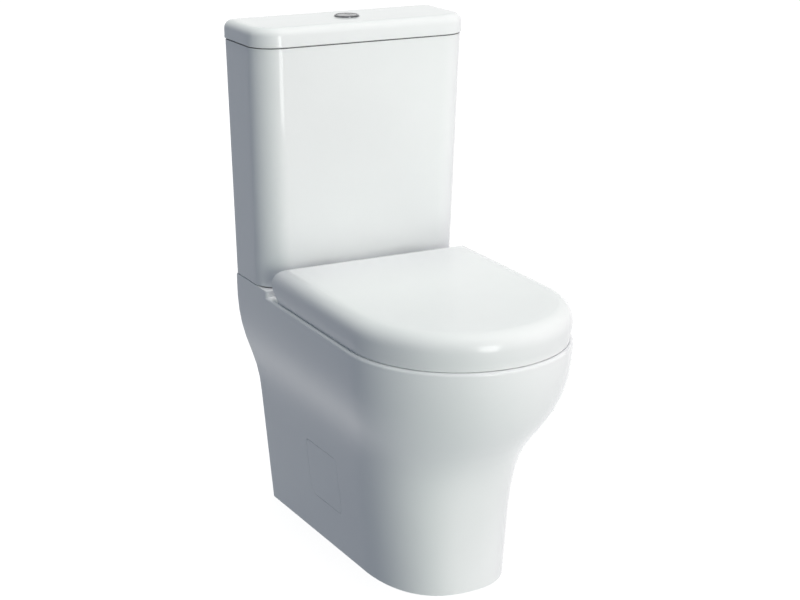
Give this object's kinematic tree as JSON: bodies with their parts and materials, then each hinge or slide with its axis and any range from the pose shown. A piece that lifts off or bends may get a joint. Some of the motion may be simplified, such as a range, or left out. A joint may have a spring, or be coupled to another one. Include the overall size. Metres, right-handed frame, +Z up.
{
  "type": "close coupled toilet",
  "caption": "Close coupled toilet: skirted back to wall pan, tapered cistern with a push button in its lid, and a hinged seat under a hinged wrap-over lid.",
  "frame": {"origin": "on the floor, under the centre of the closed toilet's overall box", "axes": "+Z up, +Y towards the wall behind the toilet, +X to the right as seen by someone who stands in front of it"},
  "size_m": [0.373, 0.6014, 0.8304],
  "materials": {
    "glazed_ceramic": "smooth glossy white glaze",
    "seat_plastic": "smooth glossy white moulding",
    "chrome": "bright plate",
    "steel": "satin",
    "rubber": "matt",
    "nylon": "satin white moulding",
    "moulded": "satin moulding",
    "blue_moulded": "satin blue moulding"
  },
  "bodies": {
    "base": {"pan": "glazed_ceramic", "access_covers": "glazed_ceramic", "cistern": "glazed_ceramic", "cistern_lid": "glazed_ceramic", "hinge_posts": "chrome", "hinge_pins": "steel", "hinge_bolts": "steel", "hinge_washers": "rubber", "hinge_wing_nuts": "nylon", "button_bezel": "chrome", "button_sleeve": "moulded", "button_nut": "moulded", "full_button_spring": "steel", "half_button_spring": "steel", "flush_valve_base": "moulded", "flush_valve_seal": "rubber", "flush_valve_nut": "moulded", "flush_valve_cage": "moulded", "flush_valve_head": "blue_moulded", "doughnut_washer": "rubber", "coupling_bolts": "steel", "bolt_seals": "rubber", "bolt_washers": "steel", "coupling_washers": "steel", "coupling_wing_nuts": "nylon", "fill_valve_stem": "moulded", "fill_valve_seal": "rubber", "fill_valve_nut": "moulded", "fill_valve_head": "blue_moulded", "lever_pin": "steel"},
    "seat": {"seat_ring": "seat_plastic", "seat_buffers": "rubber"},
    "lid": {"seat_lid": "seat_plastic", "lid_buffers": "rubber"},
    "full_button": {"full_flush_button": "chrome", "full_push_rod": "moulded"},
    "half_button": {"half_flush_button": "chrome", "half_push_rod": "moulded"},
    "flush_lift": {"lift_tube": "moulded", "flush_seal": "rubber"},
    "float": {"fill_valve_float": "moulded"},
    "lever": {"fill_valve_lever": "blue_moulded"}
  },
  "joints": [
    {"name": "seat_hinge", "type": "hinge", "parent": "base", "child": "seat", "pos_m": [0, 0.12875, 0.4285], "axis": [-1, 0, 0], "range_deg": [0, 91]},
    {"name": "lid_hinge", "type": "hinge", "parent": "seat", "child": "lid", "pos_m": [0, 0.12875, 0.4285], "axis": [1, 0, 0], "range_deg": [-91, 0]},
    {"name": "full_button_press", "type": "slide", "parent": "base", "child": "full_button", "axis": [0, 0, -1], "range_m": [0, 0.006], "stiffness_N_per_m": 400, "springref_m": -0.006, "deforming": ["full_button_spring"]},
    {"name": "half_button_press", "type": "slide", "parent": "base", "child": "half_button", "axis": [0, 0, -1], "range_m": [0, 0.006], "stiffness_N_per_m": 400, "springref_m": -0.006, "deforming": ["half_button_spring"]},
    {"name": "flush_lift", "type": "slide", "parent": "base", "child": "flush_lift", "axis": [0, 0, 1], "range_m": [0, 0.009]},
    {"name": "float_rise", "type": "slide", "parent": "base", "child": "float", "axis": [0, 0, 1], "range_m": [0, 0.012]},
    {"name": "lever_turn", "type": "hinge", "parent": "base", "child": "lever", "pos_m": [-0.138, 0.23875, 0.684], "axis": [0, -1, 0], "range_deg": [0, 23]}
  ],
  "couplings": [
    {"joint": "flush_lift", "follows": "full_button_press", "ratio": 1.5},
    {"joint": "lever_turn", "follows": "float_rise", "rad_per_m": 33.33}
  ]
}
